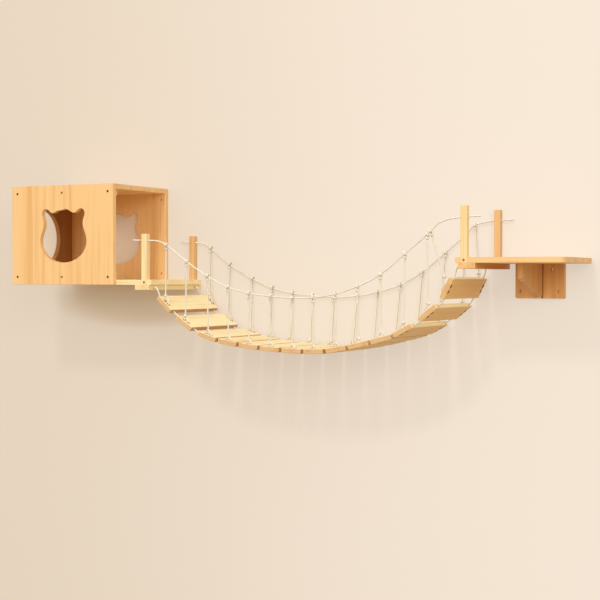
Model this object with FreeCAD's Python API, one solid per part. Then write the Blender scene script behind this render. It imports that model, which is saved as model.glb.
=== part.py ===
import FreeCAD, Part
import math
import os

# A wall walkway for a cat: a house, a hanging bridge of planks and a shelf.
# Lengths are in millimetres. X runs along the wall to the right, Y into the wall and Z up.
# The origin is on the wall, at the centre of the four wall holes of the house.

# Boards
board = 15.0
edge_ease = 1.0
overrun = 5.0

# House
house_width = 375.0
house_depth = 300.0
house_height = 300.0
landing_reach = 122.0
cleat_height = 20.0
cleat_depth = 18.0
cleat_setback = 8.0
side_hole_radius = 92.0
side_hole_margin = 23.0
side_hole_drop = 4.0

# Cat-head opening: a smooth line through points from crown to chin, as shares of half its width
face_half_width = 86.0
face_shift = 5.0
face_drop = 18.0
face_shares = (
    (0.0, 1.10), (0.26, 1.06), (0.47, 0.98), (0.63, 1.08), (0.766, 1.125), (0.871, 1.076), (0.918, 0.98),
    (0.859, 0.75), (0.836, 0.61), (0.918, 0.316), (1.0, 0.0), (0.906, -0.327), (0.59, -0.62), (0.0, -0.762),
)

# Landing, crossbars and posts
crossbar_width = 48.0
board_overhang = 8.0
post = 18.0
post_length = 150.0
post_setback = 15.0
left_hole_drop = 18.5
right_hole_drop = 28.0

# Shelf and its bracket
shelf_length = 291.0
shelf_corner = 24.0
plate_width = 138.0
plate_height = 95.0
plate_corner = 4.0
gusset_reach = 170.0
gusset_nose = 40.0
gusset_height = 90.0

# Ropes
rope = 5.0
rope_stub = 35.0
left_rope_lead = 30.0
right_rope_lead = 50.0
rope_bend = 11.7
knot = 9.2
knot_drop = 11.0
deck_rope_hold = 34.0
rope_clearance = 0.3
rope_parting = 0.05

# Bridge: the tilt of each run of the deck rope, downwards to the right, in degrees
straight_turn = 0.1
first_tilt = 70.0
plank_tilts = (43.0, 34.0, 17.0, 9.0, 6.0, 4.0, 2.0, -2.0, -10.0, -13.0, -15.0, -28.0, -39.0, -63.0)
last_tilt = -77.0
bare_run = 26.0
plank_width = 60.0
plank_reveal = 7.5
plank_thickness = 14.0
plank_ease = 2.0
level_gap = 8.7
slope_gap = 27.0
end_gap = 14.0
steep_ends = 2
deck_rope_inset = 20.0
deck_rope_hole = 8.0

# Hangers, as shares of the shortest one's rise from its plank to the top rope, and how far each
# knot is to the right of its plank's middle; the last plank has no knot of its own, and is tied
# past the last knot at the front and at the back
hanger_rise = 145.0
front_hanger_shares = (1.21, 1.235, 1.2, 1.08, 1.03, 1.02, 1.01, 1.02, 1.045, 1.095, 1.2, 1.41, 1.43)
back_hanger_shares = (1.17, 1.18, 1.15, 1.06, 1.02, 1.01, 1.0, 1.035, 1.07, 1.11, 1.26, 1.46, 1.49)
front_knot_shifts = (8.0, 8.0, 0.0, 1.0, 1.0, 2.0, 2.0, 1.0, 1.0, 1.0, 3.0, 6.0, 0.0)
back_knot_shifts = (0.0, 0.0, 0.0, 0.0, 2.0, 4.0, 7.0, 10.0, 9.5, 14.0, 16.0, 19.0, 10.0)
hanger_inset = 9.0
hanger_hole = 7.0
leg_pitch = 16.0
leg_rise = 5.5
leg_bend = 4.0
foot_knot = 7.6
foot_tail = 0.8
foot_clearance = 0.9
foot_bore = 9.6
foot_seat = 5.5
apex_rise = 15.0
apex_lift = 7.0
front_tie_past = 11.0
back_tie_past = 38.0

# Wood screws and wall holes
screw_head = 7.6
screw_shank = 4.0
screw_sink = 2.4
screw_tip = 5.0
recess_length = 4.6
recess_width = 1.2
recess_depth = 1.4
long_screw = 40.0
short_screw = 27.0
panel_screw = 30.0
front_screw_side = 20.0
front_screw_edge = 23.0
wall_hole = 5.5
wall_hole_mouth = 9.0
wall_hole_sink = 3.0
house_hole_side = 17.0
house_hole_edge = 34.0
plate_hole_side = 15.5
plate_hole_rise = 20.0
plate_top_hole_side = 35.5
plate_top_hole_drop = 15.0

# Shares used to place repeated pieces
bend_share = 0.45
arc_shares = (-0.5, -0.25, 0.0, 0.25, 0.5)
third_shares = (-0.32, 0.0, 0.32)
pair_shares = (-0.3, 0.3)
gusset_screw_shares = (0.3, 0.8)
plate_screw_shares = (0.35, 0.75)

# Places derived from the sizes above
left = -house_width / 2
right = house_width / 2
bottom = -house_height / 2
top = house_height / 2
front = -house_depth
deck_front = front + board
deck_middle = deck_front / 2
landing_end = right + landing_reach
rope_radius = rope / 2
top_rope_depths = (deck_front + post / 2, -post / 2)
plank_length = -deck_front - 2 * plank_reveal
deck_rope_spread = plank_length / 2 - deck_rope_inset
deck_rope_depths = (deck_middle - deck_rope_spread, deck_middle + deck_rope_spread)
hanger_spread = plank_length / 2 - hanger_inset
hanger_depths = (deck_middle - hanger_spread, deck_middle + hanger_spread)
UP = FreeCAD.Vector(0, 0, 1)
INTO_WALL = FreeCAD.Vector(0, 1, 0)
ALONG = FreeCAD.Vector(1, 0, 0)


def at(x, y, z):
    return FreeCAD.Vector(x, y, z)


def block(x_span, y_span, z_span, ease=edge_ease):
    """A board between two places on each axis, with its edges eased."""
    corner = at(x_span[0], y_span[0], z_span[0])
    solid = Part.makeBox(
        x_span[1] - x_span[0], y_span[1] - y_span[0], z_span[1] - z_span[0], corner
    )
    return solid.makeFillet(ease, solid.Edges) if ease else solid


def middle_of(span):
    return (span[0] + span[1]) / 2


def screw(head_at, direction, length):
    """A countersunk wood screw, its head flush at head_at."""
    profile = [
        at(0, 0, 0),
        at(screw_head / 2, 0, 0),
        at(screw_shank / 2, 0, screw_sink),
        at(screw_shank / 2, 0, length - screw_tip),
        at(0, 0, length),
        at(0, 0, 0),
    ]
    solid = Part.Face(Part.makePolygon(profile)).revolve(at(0, 0, 0), UP, math.degrees(math.tau))
    solid.Placement = FreeCAD.Placement(head_at, FreeCAD.Rotation(UP, direction))
    return solid


def driven_screw(head_at, direction, length):
    """The same screw with a cross recess in its head."""
    height = recess_depth + overrun
    slots = [
        Part.makeBox(x, y, height, at(-x / 2, -y / 2, -overrun))
        for x, y in ((recess_length, recess_width), (recess_width, recess_length))
    ]
    cross = slots[0].fuse(slots[1])
    cross.Placement = FreeCAD.Placement(head_at, FreeCAD.Rotation(UP, direction))
    return screw(head_at, direction, length).cut(cross)


def wall_hole_cutter(mouth):
    """The space of a countersunk wall hole through a board, open towards the room."""
    bore = Part.makeCylinder(wall_hole / 2, board + 2 * overrun, mouth - INTO_WALL * overrun, INTO_WALL)
    sink = Part.makeCone(wall_hole_mouth / 2, wall_hole / 2, wall_hole_sink, mouth, INTO_WALL)
    return bore.fuse(sink)


def unit(tilt):
    """The direction of a run in the X-Z plane, tilted downwards to the right."""
    return math.cos(math.radians(tilt)), -math.sin(math.radians(tilt))


def step(point, tilt, length):
    along = unit(tilt)
    return point[0] + along[0] * length, point[1] + along[1] * length


def walk_deck():
    """The deck rope's corners and each plank's middle, from the left crossbar to the right one."""
    corners = [(landing_end - board_overhang + rope_bend, bottom - board / 2)]
    corners.append(step(corners[-1], first_tilt, bare_run))
    count = len(plank_tilts)
    gaps = [end_gap]
    for i in range(1, count):
        steep = i <= steep_ends or i >= count - steep_ends
        gaps.append(slope_gap if steep else level_gap)
    gaps.append(end_gap)
    middles = []
    for i, tilt in enumerate(plank_tilts):
        middles.append(step(corners[-1], tilt, gaps[i] / 2 + plank_width / 2))
        corners.append(step(middles[-1], tilt, plank_width / 2 + gaps[i + 1] / 2))
    corners.append(step(corners[-1], last_tilt, bare_run))
    limits = [rope_bend] + [gap / 2 for gap in gaps] + [rope_bend]
    return corners, limits, middles


deck_corners, deck_limits, plank_middles = walk_deck()
shelf_start = deck_corners[-1][0] + rope_bend - board_overhang
shelf_end = shelf_start + shelf_length
shelf_under = deck_corners[-1][1] + board / 2
shelf_top = shelf_under + board
bracket_middle = (shelf_start + shelf_end) / 2
left_post_x = (landing_end - post_setback - post, landing_end - post_setback)
right_post_x = (shelf_start + post_setback, shelf_start + post_setback + post)
left_bar_x = (landing_end - board_overhang - crossbar_width, landing_end - board_overhang)
right_bar_x = (shelf_start + board_overhang, shelf_start + board_overhang + crossbar_width)
left_rope_height = bottom + post_length - left_hole_drop
right_rope_height = shelf_under + post_length - right_hole_drop
knot_count = len(front_hanger_shares)


def knots_of_row(shares, shifts):
    """The hangers' knots on a top rope, in X and Z."""
    row = zip(plank_middles, shares, shifts)
    return [(middle[0] + shift, middle[1] + hanger_rise * share) for middle, share, shift in row]


def trimmed(edge, before, after):
    """An edge less a length at its start and a length at its end."""
    first = edge.getParameterByLength(before)
    last = edge.getParameterByLength(edge.Length - after)
    return edge.Curve.toShape(first, last)


class Route:
    """A rope's line in one X-Z plane: straight runs joined by tangent arcs, each arc in two halves."""

    def __init__(self, points, depth, limits=None):
        self.depth = depth
        self.edges = []
        self.cuts = []
        self.middles = []
        self.radii = []
        place = self.lift(points[0])
        for i in range(1, len(points) - 1):
            limit = limits[i - 1] if limits else math.inf
            place = self.corner(place, points[i - 1], points[i], points[i + 1], limit)
        self.line(place, self.lift(points[-1]))

    def lift(self, point):
        return at(point[0], self.depth, point[1])

    def line(self, start, end):
        self.edges.append(Part.LineSegment(start, end).toShape())

    def corner(self, place, before, point, after, limit):
        """Adds the run up to a corner and the corner's arc; returns where the arc ends."""
        here = self.lift(point)
        run_in = here - self.lift(before)
        run_out = self.lift(after) - here
        reach = min(limit, bend_share * min(run_in.Length, run_out.Length))
        way_in = run_in.normalize()
        way_out = run_out.normalize()
        turn = way_in.getAngle(way_out)
        self.middles.append((here, way_in))
        if turn < math.radians(straight_turn):
            self.line(place, here)
            self.cuts.append(len(self.edges))
            return here
        radius = reach / math.tan(turn / 2)
        inward = (way_out - way_in).normalize()
        centre = here + inward * (radius / math.cos(turn / 2))
        axis = way_in.cross(way_out)
        spokes = []
        for share in arc_shares:
            spin = FreeCAD.Rotation(axis, math.degrees(turn * share))
            spokes.append(centre + spin.multVec(inward * -radius))
        self.line(place, spokes[0])
        self.edges.append(Part.Arc(spokes[0], spokes[1], spokes[2]).toShape())
        self.cuts.append(len(self.edges))
        self.edges.append(Part.Arc(spokes[2], spokes[3], spokes[4]).toShape())
        self.radii.append(radius)
        self.middles[-1] = (spokes[2], (way_in + way_out).normalize())
        return spokes[4]

    def place_after(self, corner, distance):
        """The place and direction at a distance along the rope past the middle of a corner."""
        for edge in self.edges[self.cuts[corner]:]:
            if distance <= edge.Length:
                break
            distance -= edge.Length
        here = edge.getParameterByLength(min(distance, edge.Length))
        return edge.valueAt(here), edge.tangentAt(here)

    def tube(self, start=0, end=None, parting=0):
        """The rope along a stretch of the route, from one edge to another, parted from what is past it."""
        edges = self.edges[start:end]
        edges[0] = trimmed(edges[0], parting, 0)
        edges[-1] = trimmed(edges[-1], 0, parting)
        begin = edges[0].FirstParameter
        rim = Part.makeCircle(rope_radius, edges[0].valueAt(begin), edges[0].tangentAt(begin))
        return Part.Wire(edges).makePipeShell([Part.Wire(rim)], True, True)


def top_rope_route(depth, knots):
    """A top rope from stub to stub, over the hangers' knots."""
    points = [
        (left_post_x[0] - rope_stub, left_rope_height),
        (left_post_x[1] + left_rope_lead, left_rope_height),
    ]
    points += knots
    points += [
        (right_post_x[0] - right_rope_lead, right_rope_height),
        (right_post_x[1] + rope_stub, right_rope_height),
    ]
    return Route(points, depth)


def deck_rope_route(depth):
    """A deck rope from its blind hole in one crossbar to that in the other, through every plank."""
    points = [(left_bar_x[1] - deck_rope_hold, deck_corners[0][1])]
    points += deck_corners
    points.append((right_bar_x[0] + deck_rope_hold, deck_corners[-1][1]))
    return Route(points, depth, deck_limits)


top_routes = [
    top_rope_route(top_rope_depths[0], knots_of_row(front_hanger_shares, front_knot_shifts)),
    top_rope_route(top_rope_depths[1], knots_of_row(back_hanger_shares, back_knot_shifts)),
]
deck_routes = [deck_rope_route(depth) for depth in deck_rope_depths]


def face_prism(y_from):
    """The cat-head opening through a panel, as a prism in Y."""
    centre_x = face_shift
    centre_z = -face_drop

    def spot(shares, side=1):
        x = centre_x + side * shares[0] * face_half_width
        return at(x, y_from, centre_z + shares[1] * face_half_width)

    right_half = [spot(shares) for shares in face_shares]
    left_half = [spot(shares, -1) for shares in reversed(face_shares[1:-1])]
    curve = Part.BSplineCurve()
    curve.interpolate(Points=right_half + left_half, PeriodicFlag=True)
    outline = Part.Wire(curve.toShape())
    return Part.Face(outline).extrude(INTO_WALL * (board + 2 * overrun))


def house_panel(y_span):
    """A front or back panel with its cat-head opening."""
    panel = block((left, right), y_span, (bottom, top))
    return panel.cut(face_prism(y_span[0] - overrun))


def house_side_panel():
    panel = block((left, left + board), (deck_front, -board), (bottom + board, top - board))
    centre = at(left - overrun, deck_front + side_hole_margin + side_hole_radius, -side_hole_drop)
    hole = Part.makeCylinder(side_hole_radius, board + 2 * overrun, centre, ALONG)
    return panel.cut(hole)


def cleat(z_span):
    """A cleat behind the front panel, from the side panel to near the open side."""
    return block((left + board, right - cleat_setback), (deck_front, deck_front + cleat_depth), z_span)


def post_notches(x_span, z_span):
    """The two spaces that a pair of posts takes out of a board's front and back edges."""
    depths = ((deck_front - overrun, deck_front + post), (-post, overrun))
    return [block(x_span, depth, z_span, 0) for depth in depths]


def house_floor():
    """The floor between the panels, and its wider landing with post notches."""
    z_span = (bottom, bottom + board)
    inside = block((left, right + board), (deck_front, -board), z_span)
    landing = block((right, landing_end), (deck_front, 0), z_span)
    notches = post_notches(left_post_x, (bottom - overrun, bottom + board + overrun))
    return inside.fuse(landing).removeSplitter().cut(notches[0].fuse(notches[1]))


def shelf_board():
    """The shelf, with its two outer corners rounded and its post notches."""
    solid = block((shelf_start, shelf_end), (deck_front, 0), (shelf_under, shelf_top), 0)
    corners = [
        edge
        for edge in solid.Edges
        if edge.BoundBox.ZLength > board / 2 and edge.BoundBox.XMin > bracket_middle
    ]
    solid = solid.makeFillet(shelf_corner, corners)
    solid = solid.makeFillet(edge_ease, [e for e in solid.Edges if e.BoundBox.ZLength < board / 2])
    notches = post_notches(right_post_x, (shelf_under - overrun, shelf_top + overrun))
    return solid.cut(notches[0].fuse(notches[1]))


def crossbar(x_span, z_high):
    return block(x_span, (deck_front, 0), (z_high - board, z_high))


def posts():
    """The four posts, each standing on a crossbar in a board's notch."""
    ends = {"left": (left_post_x, bottom), "right": (right_post_x, shelf_under)}
    depths = {"front": (deck_front, deck_front + post), "back": (-post, 0)}
    shapes = {}
    for end, (x_span, z_low) in ends.items():
        for side, y_span in depths.items():
            shapes[f"{end}_{side}_post"] = block(x_span, y_span, (z_low, z_low + post_length))
    return shapes


def bracket_wall_plate():
    x_span = (bracket_middle - plate_width / 2, bracket_middle + plate_width / 2)
    solid = block(x_span, (-board, 0), (shelf_under - plate_height, shelf_under), 0)
    low = shelf_under - plate_height / 2
    corners = [e for e in solid.Edges if e.BoundBox.YLength > board / 2 and e.BoundBox.ZMax < low]
    solid = solid.makeFillet(plate_corner, corners)
    for x in (x_span[0] + plate_hole_side, x_span[1] - plate_hole_side):
        mouth = at(x, -board, shelf_under - plate_height + plate_hole_rise)
        solid = solid.cut(wall_hole_cutter(mouth))
    for x in (x_span[0] + plate_top_hole_side, x_span[1] - plate_top_hole_side):
        solid = solid.cut(wall_hole_cutter(at(x, -board, shelf_under - plate_top_hole_drop)))
    return solid


def bracket_gusset():
    """The upright under the shelf, with a nose in front and a slope back to the wall plate."""
    x = bracket_middle - board / 2
    nose = -board - gusset_reach
    points = [
        at(x, -board, shelf_under),
        at(x, nose, shelf_under),
        at(x, nose, shelf_under - gusset_nose),
        at(x, -board, shelf_under - gusset_height),
        at(x, -board, shelf_under),
    ]
    return Part.Face(Part.makePolygon(points)).extrude(ALONG * board)


def plank(middle, tilt):
    """A plank with two long holes for the deck ropes and two pairs of hanger holes, bored out below."""
    half = plank_length / 2
    solid = block(
        (-plank_width / 2, plank_width / 2),
        (-half, half),
        (-plank_thickness / 2, plank_thickness / 2),
        plank_ease,
    )
    reach = plank_width + 2 * overrun
    depth = plank_thickness + 2 * overrun
    bore_depth = plank_thickness - foot_seat + overrun
    for side in (-1, 1):
        start = at(-reach / 2, side * deck_rope_spread, 0)
        solid = solid.cut(Part.makeCylinder(deck_rope_hole / 2, reach, start, ALONG))
        for leg in (-1, 1):
            foot = at(leg * leg_pitch / 2, side * hanger_spread, -depth / 2)
            solid = solid.cut(Part.makeCylinder(hanger_hole / 2, depth, foot, UP))
            solid = solid.cut(Part.makeCylinder(foot_bore / 2, bore_depth, foot, UP))
    place = at(middle[0], deck_middle, middle[1])
    solid.Placement = FreeCAD.Placement(place, FreeCAD.Rotation(INTO_WALL, tilt))
    return solid


def plank_spot(number, across, above):
    """A place in a plank's own frame, across its width and above its middle, in X and Z."""
    tilt = plank_tilts[number]
    return step(step(plank_middles[number], tilt, across), tilt - math.degrees(math.tau / 4), above)


def hanger_legs(number, apex, depth):
    """The two legs of a hanger, through a plank's pair of holes to stopper knots in their bores."""
    high = plank_thickness / 2 + leg_rise
    knot_low = plank_thickness / 2 - foot_seat - foot_clearance - foot_knot / 2
    tail_low = knot_low - foot_knot / 2 - foot_tail
    shapes = []
    for side in (-1, 1):
        across = side * leg_pitch / 2
        spots = [plank_spot(number, across, above) for above in (high, knot_low, tail_low)]
        route = Route([apex, spots[0], spots[2]], depth, [leg_bend])
        way = route.lift(spots[0]) - route.lift(spots[2])
        shapes.append(route.tube())
        shapes.append(Part.makeSphere(foot_knot / 2, route.lift(spots[1]), way))
    return shapes


def apex_place(number, tie):
    """Where a hanger parts into its legs, in X and Z: above its plank, on the way to its tie."""
    tilt = plank_tilts[number]
    middle = plank_middles[number]
    towards = at(tie.x - middle[0], 0, tie.z - middle[1]).normalize()
    normal = unit(tilt - math.degrees(math.tau / 4))
    above = apex_rise + apex_lift * abs(math.sin(math.radians(tilt)))
    rise = above / (towards.x * normal[0] + towards.z * normal[1])
    return middle[0] + towards.x * rise, middle[1] + towards.z * rise


def hanger(number, tie, tie_axis, depth):
    """One hanger: a ring round the top rope, a knot, a cord and two legs through its plank."""
    ring_radius = rope + rope_clearance
    ring = Part.makeTorus(ring_radius, rope_radius, tie, tie_axis)
    below = UP * -1 - tie_axis * (UP * -1).dot(tie_axis)
    start = tie + below.normalize() * ring_radius
    apex = apex_place(number, tie)
    end = at(apex[0], depth, apex[1])
    way = (end - start).normalize()
    cord = Part.makeCylinder(rope_radius, (end - start).Length, start, way)
    top_knot = Part.makeSphere(knot / 2, start + way * (knot_drop - ring_radius), way)
    low_knot = Part.makeSphere(knot / 2, end, way)
    return cord.fuse([ring, top_knot, low_knot] + hanger_legs(number, apex, depth))


def hangers(route, depth, tie_past):
    """A row of hangers; a plank with no knot of its own is tied past the last knot."""
    row = []
    for number in range(len(plank_tilts)):
        if number < knot_count:
            tie, axis = route.middles[number + 1]
        else:
            tie, axis = route.place_after(knot_count, tie_past)
        row.append(hanger(number, tie, axis, depth))
    return row


def rope_spans(routes, last_corner):
    """Splits each rope at its first and last corners that move: its span and its two ends."""
    spans = []
    ends = []
    for route in routes:
        first_cut, last_cut = route.cuts[1], route.cuts[last_corner]
        spans.append(route.tube(first_cut, last_cut, rope_parting))
        ends += [route.tube(0, first_cut), route.tube(last_cut)]
    return spans, ends


def house_front_screws():
    """Where the front panel's screws go, which way they point and how long they are."""
    side = house_width / 2 - front_screw_side
    edge = house_height / 2 - front_screw_edge
    return [(at(x, front, z), INTO_WALL, panel_screw) for x in (-side, 0, side) for z in (-edge, edge)]


def house_back_screws():
    """Screws from the wall side into the top, the floor and the side panel."""
    heights = (bottom + board / 2, top - board / 2)
    places = [(house_width * share, z) for share in pair_shares for z in heights]
    places += [(left + board / 2, house_height * share) for share in pair_shares]
    return [(at(x, 0, z), INTO_WALL * -1, long_screw) for x, z in places]


def side_panel_screws():
    """Screws through the top and the floor into the side panel."""
    depths = [-house_depth / 2 + house_depth * share for share in pair_shares]
    places = [(at(left + board / 2, y, top), UP * -1, long_screw) for y in depths]
    return places + [(at(left + board / 2, y, bottom), UP, long_screw) for y in depths]


def post_screws():
    """One screw through each post's foot into the edge of its board."""
    places = []
    for x_span, z_low in ((left_post_x, bottom), (right_post_x, shelf_under)):
        x, z = middle_of(x_span), z_low + board / 2
        places.append((at(x, deck_front, z), INTO_WALL, long_screw))
        places.append((at(x, 0, z), INTO_WALL * -1, long_screw))
    return places


def crossbar_screws():
    """Screws up through each crossbar into the board above it."""
    places = []
    for x_span, z_high in ((left_bar_x, bottom), (right_bar_x, shelf_under)):
        for share in third_shares:
            y = deck_middle + deck_front * share
            places.append((at(middle_of(x_span), y, z_high - board), UP, short_screw))
    return places


def shelf_screws():
    """Screws down through the shelf into the gusset and the wall plate."""
    places = [(bracket_middle, -board - gusset_reach * share) for share in gusset_screw_shares]
    places += [(bracket_middle + plate_width * share, -board / 2) for share in pair_shares]
    return [(at(x, y, shelf_top), UP * -1, panel_screw) for x, y in places]


def bracket_screws():
    """Screws through the wall plate into the gusset's back edge."""
    heights = [shelf_under - plate_height * share for share in plate_screw_shares]
    return [(at(bracket_middle, 0, z), INTO_WALL * -1, long_screw) for z in heights]


def house_back_panel():
    """The back panel, with four open countersunk wall holes."""
    panel = house_panel((-board, 0))
    side = house_width / 2 - house_hole_side
    edge = house_height / 2 - house_hole_edge
    for x in (-side, side):
        for z in (-edge, edge):
            panel = panel.cut(wall_hole_cutter(at(x, -board, z)))
    return panel


def wooden_parts():
    """Every board, bar and post, before its screw and rope holes."""
    shapes = {
        "house_front_panel": house_panel((front, deck_front)),
        "house_back_panel": house_back_panel(),
        "house_side_panel": house_side_panel(),
        "house_top": block((left, right), (deck_front, -board), (top - board, top)),
        "house_floor": house_floor(),
        "front_top_cleat": cleat((top - board - cleat_height, top - board)),
        "front_bottom_cleat": cleat((bottom + board, bottom + board + cleat_height)),
        "left_crossbar": crossbar(left_bar_x, bottom),
        "right_crossbar": crossbar(right_bar_x, shelf_under),
        "shelf_board": shelf_board(),
        "bracket_wall_plate": bracket_wall_plate(),
        "bracket_gusset": bracket_gusset(),
    }
    shapes.update(posts())
    return shapes


def cut_where_met(shape, tools):
    """Takes out of a shape every tool whose box meets its box."""
    met = [tool for tool in tools if tool.BoundBox.intersect(shape.BoundBox)]
    return shape.cut(met) if met else shape


def build():
    """Makes every node of the walkway, by name."""
    screws = {
        "house_front_screws": house_front_screws(),
        "house_back_screws": house_back_screws(),
        "side_panel_screws": side_panel_screws(),
        "post_screws": post_screws(),
        "crossbar_screws": crossbar_screws(),
        "shelf_screws": shelf_screws(),
        "bracket_screws": bracket_screws(),
    }
    top_spans, top_ends = rope_spans(top_routes, knot_count)
    deck_spans, deck_ends = rope_spans(deck_routes, len(plank_tilts) + 1)
    tools = [screw(*place) for group in screws.values() for place in group] + top_ends + deck_ends
    nodes = {name: cut_where_met(shape, tools) for name, shape in wooden_parts().items()}
    for name, group in screws.items():
        nodes[name] = Part.Compound([driven_screw(*place) for place in group])
    for i, tilt in enumerate(plank_tilts):
        nodes[f"plank_{i + 1:02d}"] = plank(plank_middles[i], tilt)
    nodes["front_top_rope"], nodes["back_top_rope"] = top_spans
    nodes["front_deck_rope"], nodes["back_deck_rope"] = deck_spans
    nodes["top_rope_ends"] = Part.Compound(top_ends)
    nodes["deck_rope_ends"] = Part.Compound(deck_ends)
    nodes["front_hangers"] = Part.Compound(hangers(top_routes[0], hanger_depths[0], front_tie_past))
    nodes["back_hangers"] = Part.Compound(hangers(top_routes[1], hanger_depths[1], back_tie_past))
    return nodes


def main():
    os.makedirs("parts", exist_ok=True)
    for name, shape in build().items():
        shape.exportStep(os.path.join("parts", f"{name}.step"))
        print(name, "solids", len(shape.Solids), "volume", round(shape.Volume))
    for route in top_routes + deck_routes:
        print("rope arc radii", [round(radius) for radius in route.radii])
        length = sum(edge.Length for edge in route.edges)
        share = route.tube().Volume / (math.pi * rope_radius**2 * length)
        print("rope length", round(length), "volume share", share)


main()
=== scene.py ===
import logging
import math
import random
from collections.abc import Iterable, Sequence
from dataclasses import dataclass, field
from enum import Enum

import bpy
import numpy as np
from bpy.types import Material, Node, NodeSocket, Object, World
from mathutils import Matrix, Vector


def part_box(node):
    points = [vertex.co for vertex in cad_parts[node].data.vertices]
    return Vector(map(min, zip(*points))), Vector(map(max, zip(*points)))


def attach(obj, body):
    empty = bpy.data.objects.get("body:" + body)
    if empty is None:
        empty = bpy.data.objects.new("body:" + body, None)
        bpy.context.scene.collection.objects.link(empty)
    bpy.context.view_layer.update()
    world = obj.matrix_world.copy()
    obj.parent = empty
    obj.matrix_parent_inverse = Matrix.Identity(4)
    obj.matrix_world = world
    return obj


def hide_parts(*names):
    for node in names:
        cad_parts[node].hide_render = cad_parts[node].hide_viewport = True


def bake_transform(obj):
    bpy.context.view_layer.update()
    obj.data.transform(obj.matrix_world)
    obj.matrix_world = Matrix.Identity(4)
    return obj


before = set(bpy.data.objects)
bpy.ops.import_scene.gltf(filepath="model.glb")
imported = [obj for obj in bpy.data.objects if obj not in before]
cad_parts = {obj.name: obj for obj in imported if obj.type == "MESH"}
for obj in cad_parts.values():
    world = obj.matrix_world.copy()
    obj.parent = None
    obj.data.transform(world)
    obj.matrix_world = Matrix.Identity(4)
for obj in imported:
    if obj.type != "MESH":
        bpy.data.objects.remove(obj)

log = logging.getLogger("walkway")
BRIDGE_BODY = "bridge"

Colour = tuple[float, float, float, float]
Tint = Colour | NodeSocket
Span = tuple[float, float]
Place = tuple[float, float, float]
Cut = tuple[np.ndarray, int, int]


def srgb(*parts: int) -> Colour:
    """A colour of eight-bit parts as Blender's linear colour.

    Args:
        parts: red, green and blue, from 0 to 255.

    Returns:
        The linear red, green and blue, and an alpha of 1.
    """
    shares = [part / 255 for part in parts]
    linear = [s / 12.92 if s <= 0.04045 else ((s + 0.055) / 1.055) ** 2.4 for s in shares]
    return (*linear, 1.0)


@dataclass(eq=False)
class Value:
    """A shader socket that takes part in sums as a number does, with the sheet that they are added to."""

    sheet: "NodeSheet"
    socket: NodeSocket

    def __add__(self, other: "Value | float") -> "Value":
        """The sum of this and another."""
        return self.sheet.maths("ADD", self, other)

    def __radd__(self, other: float) -> "Value":
        """A number plus this."""
        return self.sheet.maths("ADD", other, self)

    def __sub__(self, other: "Value | float") -> "Value":
        """This less another."""
        return self.sheet.maths("SUBTRACT", self, other)

    def __rsub__(self, other: float) -> "Value":
        """A number less this."""
        return self.sheet.maths("SUBTRACT", other, self)

    def __mul__(self, other: "Value | float") -> "Value":
        """The product of this and another."""
        return self.sheet.maths("MULTIPLY", self, other)

    def __rmul__(self, other: float) -> "Value":
        """A number times this."""
        return self.sheet.maths("MULTIPLY", other, self)

    def __truediv__(self, other: "Value | float") -> "Value":
        """This over another."""
        return self.sheet.maths("DIVIDE", self, other)

    def __rtruediv__(self, other: float) -> "Value":
        """A number over this."""
        return self.sheet.maths("DIVIDE", other, self)

    def __neg__(self) -> "Value":
        """This with its sign turned."""
        return self.sheet.maths("SUBTRACT", 0.0, self)

    def floor(self) -> "Value":
        """The whole number below this."""
        return self.sheet.maths("FLOOR", self)

    def fraction(self) -> "Value":
        """What is left above the whole number below this."""
        return self.sheet.maths("FRACT", self)

    def root(self) -> "Value":
        """The square root of this."""
        return self.sheet.maths("SQRT", self)

    def between(self, low: float, high: float) -> "Value":
        """A smooth step from 0 at one value of this to 1 at another.

        Args:
            low: where the step starts.
            high: where the step ends.

        Returns:
            The stepped value, from 0 to 1.
        """
        settings = {"interpolation_type": "SMOOTHSTEP"}
        sockets = {"Value": self, "From Min": low, "From Max": high}
        return Value(self.sheet, self.sheet.node("ShaderNodeMapRange", settings, sockets).outputs[0])


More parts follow.
